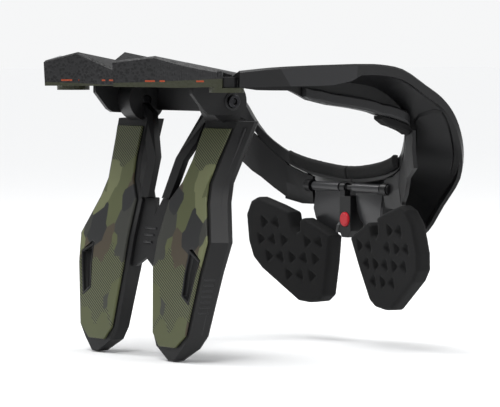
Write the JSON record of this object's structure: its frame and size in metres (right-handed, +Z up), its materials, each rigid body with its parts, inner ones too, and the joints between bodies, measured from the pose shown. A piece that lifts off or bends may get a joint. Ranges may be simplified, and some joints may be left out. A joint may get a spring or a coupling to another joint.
{
  "type": "motocross neck brace",
  "caption": "Rigid neck collar with opening jaws, twin camouflage back struts, hinged foam chest pads and a red release button.",
  "frame": {"origin": "centre of the neck opening at the level of the collar's underside, where the brace sits round the neck", "axes": "+X the wearer's right, +Y the way the wearer looks, +Z up"},
  "size_m": [0.2642, 0.2762, 0.2243],
  "materials": {
    "black_shell": "satin moulded",
    "grey_chassis": "matte moulded",
    "camouflage": "printed olive, brown and grey pattern",
    "foam": "moulded foam",
    "dark_panel": "fine texture",
    "satin_plate": "satin",
    "steel": "blackened",
    "red_button": "satin red"
  },
  "bodies": {
    "rear": {"rear_shell": "black_shell", "rear_centre_plate": "grey_chassis", "strut_bracket_right": "grey_chassis", "strut_bracket_left": "grey_chassis", "pivot_bolt_right": "steel", "pivot_bolt_left": "steel", "jaw_pin_right": "steel", "jaw_pin_left": "steel"},
    "struts": {"strut_frame_right": "black_shell", "strut_frame_left": "black_shell", "strut_panel_right": "camouflage", "strut_panel_left": "camouflage", "strut_web": "grey_chassis", "strut_yoke_right": "black_shell", "strut_yoke_left": "black_shell"},
    "jaw_right": {"side_rail_right": "black_shell", "side_chassis_right": "grey_chassis", "side_pad_right": "foam", "shoulder_wall_right": "grey_chassis", "front_chassis_right": "grey_chassis", "under_panel_right": "dark_panel", "rim_pad_right": "foam", "hinge_rod_right": "steel"},
    "jaw_left": {"side_rail_left": "black_shell", "side_chassis_left": "grey_chassis", "side_pad_left": "foam", "shoulder_wall_left": "grey_chassis", "front_chassis_left": "grey_chassis", "under_panel_left": "dark_panel", "rim_pad_left": "foam", "hinge_rod_left": "steel", "latch_body": "grey_chassis"},
    "chest_right": {"chest_plate_right": "satin_plate", "chest_pad_right": "foam"},
    "chest_left": {"chest_plate_left": "satin_plate", "chest_pad_left": "foam"},
    "button": {"release_button": "red_button"}
  },
  "joints": [
    {"name": "right_jaw", "type": "hinge", "parent": "rear", "child": "jaw_right", "pos_m": [0.103, -0.103, 0.015], "axis": [0, 0, 1], "range_deg": [-25, 0]},
    {"name": "left_jaw", "type": "hinge", "parent": "rear", "child": "jaw_left", "pos_m": [-0.103, -0.103, 0.015], "axis": [0, 0, 1], "range_deg": [0, 25]},
    {"name": "right_chest_pad", "type": "hinge", "parent": "jaw_right", "child": "chest_right", "pos_m": [0.026, 0.082, -0.0655], "axis": [1, 0, 0], "range_deg": [-15, 10]},
    {"name": "left_chest_pad", "type": "hinge", "parent": "jaw_left", "child": "chest_left", "pos_m": [-0.026, 0.082, -0.0655], "axis": [1, 0, 0], "range_deg": [-15, 10]},
    {"name": "strut_angle", "type": "hinge", "parent": "rear", "child": "struts", "pos_m": [0, -0.073, 0.003], "axis": [1, 0, 0], "range_deg": [-10, 15]},
    {"name": "release", "type": "slide", "parent": "jaw_left", "child": "button", "axis": [0, 1, 0], "range_m": [0, 0.003], "stiffness_N_per_m": 400, "springref_m": -0.001}
  ]
}
